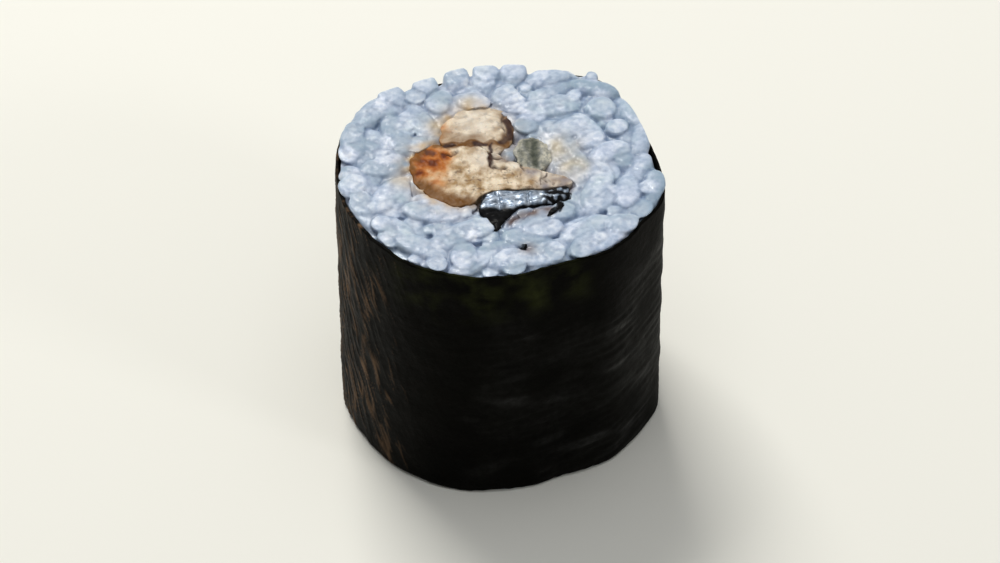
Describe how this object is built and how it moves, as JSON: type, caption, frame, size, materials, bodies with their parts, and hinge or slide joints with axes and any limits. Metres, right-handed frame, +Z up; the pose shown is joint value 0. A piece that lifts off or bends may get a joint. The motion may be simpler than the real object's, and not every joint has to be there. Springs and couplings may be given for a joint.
{
  "type": "grilled eel hosomaki",
  "caption": "One piece of thin sushi roll on its cut end: a nori sheet round vinegared rice with strips of grilled eel and its silver skin through the middle.",
  "frame": {"origin": "middle of the foot, the cut end that the piece stands on", "axes": "+Z up along the roll, +X to the viewer's right, -Y towards the viewer"},
  "size_m": [0.0316, 0.029, 0.0305],
  "materials": {
    "nori": "toasted seaweed sheet, green-black, thin and crinkled, faint sheen",
    "rice": "cooked short-grain rice, white and slightly translucent, moist",
    "eel_flesh": "grilled eel flesh, cream to tan, orange-brown where it met the grill, moist with glaze",
    "eel_skin": "eel skin, dark with a silver-blue band, wet"
  },
  "bodies": {
    "root": {"nori": "nori", "rice": "rice", "eel_flesh_main": "eel_flesh", "eel_flesh_upper": "eel_flesh", "eel_skin_main": "eel_skin", "eel_skin_upper": "eel_skin"}
  },
  "joints": []
}
